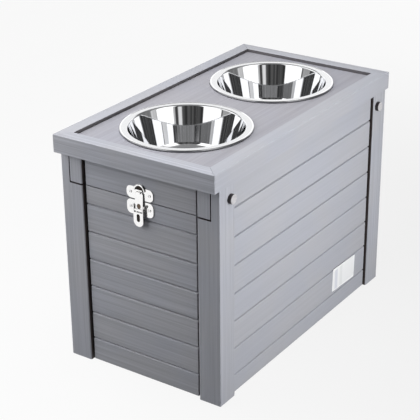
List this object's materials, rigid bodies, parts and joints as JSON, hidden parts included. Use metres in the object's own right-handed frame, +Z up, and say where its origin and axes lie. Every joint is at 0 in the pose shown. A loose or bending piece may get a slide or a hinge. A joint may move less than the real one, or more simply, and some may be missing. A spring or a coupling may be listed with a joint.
{
  "type": "elevated dog feeder with storage",
  "caption": "Raised pet feeder: a planked storage box on corner posts with a hinged, latched lid that carries lift-out steel bowls in round holes.",
  "frame": {"origin": "on the floor, under the middle of the lid", "axes": "+Z up; +X from the latch end to the hinge end, along the longest side; +Y to the left as seen facing the latch"},
  "size_m": [0.544, 0.31, 0.398],
  "materials": {
    "grey_board": "matt grey with fine lengthwise grain",
    "lid_board": "matt grey with fine lengthwise grain",
    "polished_steel": "mirror polished",
    "bright_nickel": "bright plated",
    "zinc_steel": "zinc plated",
    "dark_knob": "satin",
    "white_sticker": "matt paper"
  },
  "bodies": {
    "box": {"blank_label": "white_sticker", "cleat_screws": "zinc_steel", "floor_cleat_front": "grey_board", "floor_cleat_left": "grey_board", "floor_cleat_rear": "grey_board", "floor_cleat_right": "grey_board", "floor_panel": "grey_board", "front_panel": "grey_board", "hinge_lower_leaf_left": "bright_nickel", "hinge_lower_leaf_right": "bright_nickel", "hinge_lower_screws": "bright_nickel", "hinge_pin_left": "bright_nickel", "hinge_pin_right": "bright_nickel", "knob_bolts": "zinc_steel", "knob_nuts": "zinc_steel", "latch_base": "bright_nickel", "latch_base_screws": "bright_nickel", "latch_pivot_rivets": "bright_nickel", "panel_screws": "zinc_steel", "post_front_left": "grey_board", "post_front_right": "grey_board", "post_knob_front_left": "dark_knob", "post_knob_front_right": "dark_knob", "post_knob_rear_left": "dark_knob", "post_knob_rear_right": "dark_knob", "post_rear_left": "grey_board", "post_rear_right": "grey_board", "rear_panel": "grey_board", "side_panel_left": "grey_board", "side_panel_right": "grey_board"},
    "lid": {"lid_panel": "lid_board", "rim_front": "grey_board", "rim_rear": "grey_board", "rim_left": "grey_board", "rim_right": "grey_board", "apron_front": "grey_board", "apron_rear": "grey_board", "lid_block_front_left": "grey_board", "lid_block_front_right": "grey_board", "lid_block_rear_left": "grey_board", "lid_block_rear_right": "grey_board", "apron_screws": "zinc_steel", "hinge_upper_leaf_left": "bright_nickel", "hinge_upper_leaf_right": "bright_nickel", "hinge_upper_screws": "bright_nickel", "keeper_plate": "bright_nickel", "keeper_screws": "bright_nickel"},
    "latch_lever": {"latch_lever": "bright_nickel", "latch_link_pin": "bright_nickel"},
    "latch_link": {"latch_link": "bright_nickel"},
    "bowl_front": {"bowl_front": "polished_steel"},
    "bowl_rear": {"bowl_rear": "polished_steel"}
  },
  "joints": [
    {"name": "lid_hinge", "type": "hinge", "parent": "box", "child": "lid", "pos_m": [0.2675, 0, 0.3165], "axis": [0, 1, 0], "range_deg": [0, 105]},
    {"name": "latch_lever_swing", "type": "hinge", "parent": "box", "child": "latch_lever", "pos_m": [-0.2572, -0.0015, 0.3075], "axis": [0, 1, 0], "range_deg": [0, 110]},
    {"name": "latch_link_swing", "type": "hinge", "parent": "latch_lever", "child": "latch_link", "pos_m": [-0.2572, -0.0015, 0.3015], "axis": [0, 1, 0], "range_deg": [-127, 0]},
    {"name": "bowl_front_lift", "type": "slide", "parent": "lid", "child": "bowl_front", "axis": [0, 0, 1], "range_m": [0, 0.09]},
    {"name": "bowl_rear_lift", "type": "slide", "parent": "lid", "child": "bowl_rear", "axis": [0, 0, 1], "range_m": [0, 0.09]}
  ],
  "couplings": [
    {"joint": "latch_link_swing", "follows": "latch_lever_swing", "ratio": -1.15}
  ]
}
